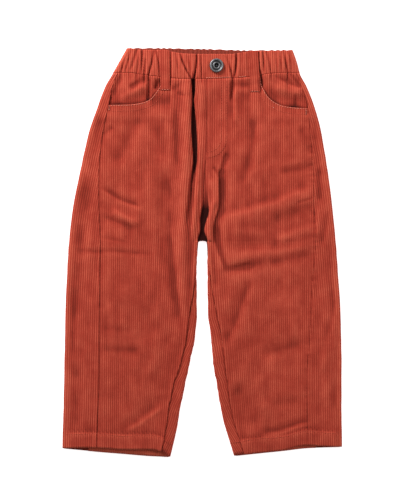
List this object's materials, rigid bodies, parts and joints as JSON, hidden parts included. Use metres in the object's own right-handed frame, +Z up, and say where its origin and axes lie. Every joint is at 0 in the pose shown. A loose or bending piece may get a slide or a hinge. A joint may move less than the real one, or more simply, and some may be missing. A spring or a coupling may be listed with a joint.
{
  "type": "corduroy trousers",
  "caption": "Child's pull-on corduroy trousers laid flat on their back, with a gathered elastic waist, a mock fly with a sewn-on button, curved front pockets and tapered legs.",
  "frame": {"origin": "under the middle of the box round the garment, on the surface that it lies on", "axes": "+X across the garment to the wearer's left, +Y along it towards the waist, +Z up out of its front"},
  "size_m": [0.3506, 0.5123, 0.0116],
  "materials": {
    "corduroy": "rust red cotton corduroy, ribbed lengthwise, soft nap",
    "thread": "matt cotton sewing thread, a little lighter than the cloth",
    "button_metal": "dark gunmetal, worn a little brighter on its rims"
  },
  "bodies": {
    "root": {"right_front": "corduroy", "left_front": "corduroy", "right_side": "corduroy", "left_side": "corduroy", "right_back": "corduroy", "left_back": "corduroy", "right_pocket_facing": "corduroy", "left_pocket_facing": "corduroy", "waistband_front": "corduroy", "waistband_back": "corduroy", "right_belt_loop": "corduroy", "left_belt_loop": "corduroy", "button": "button_metal"}
  },
  "joints": []
}
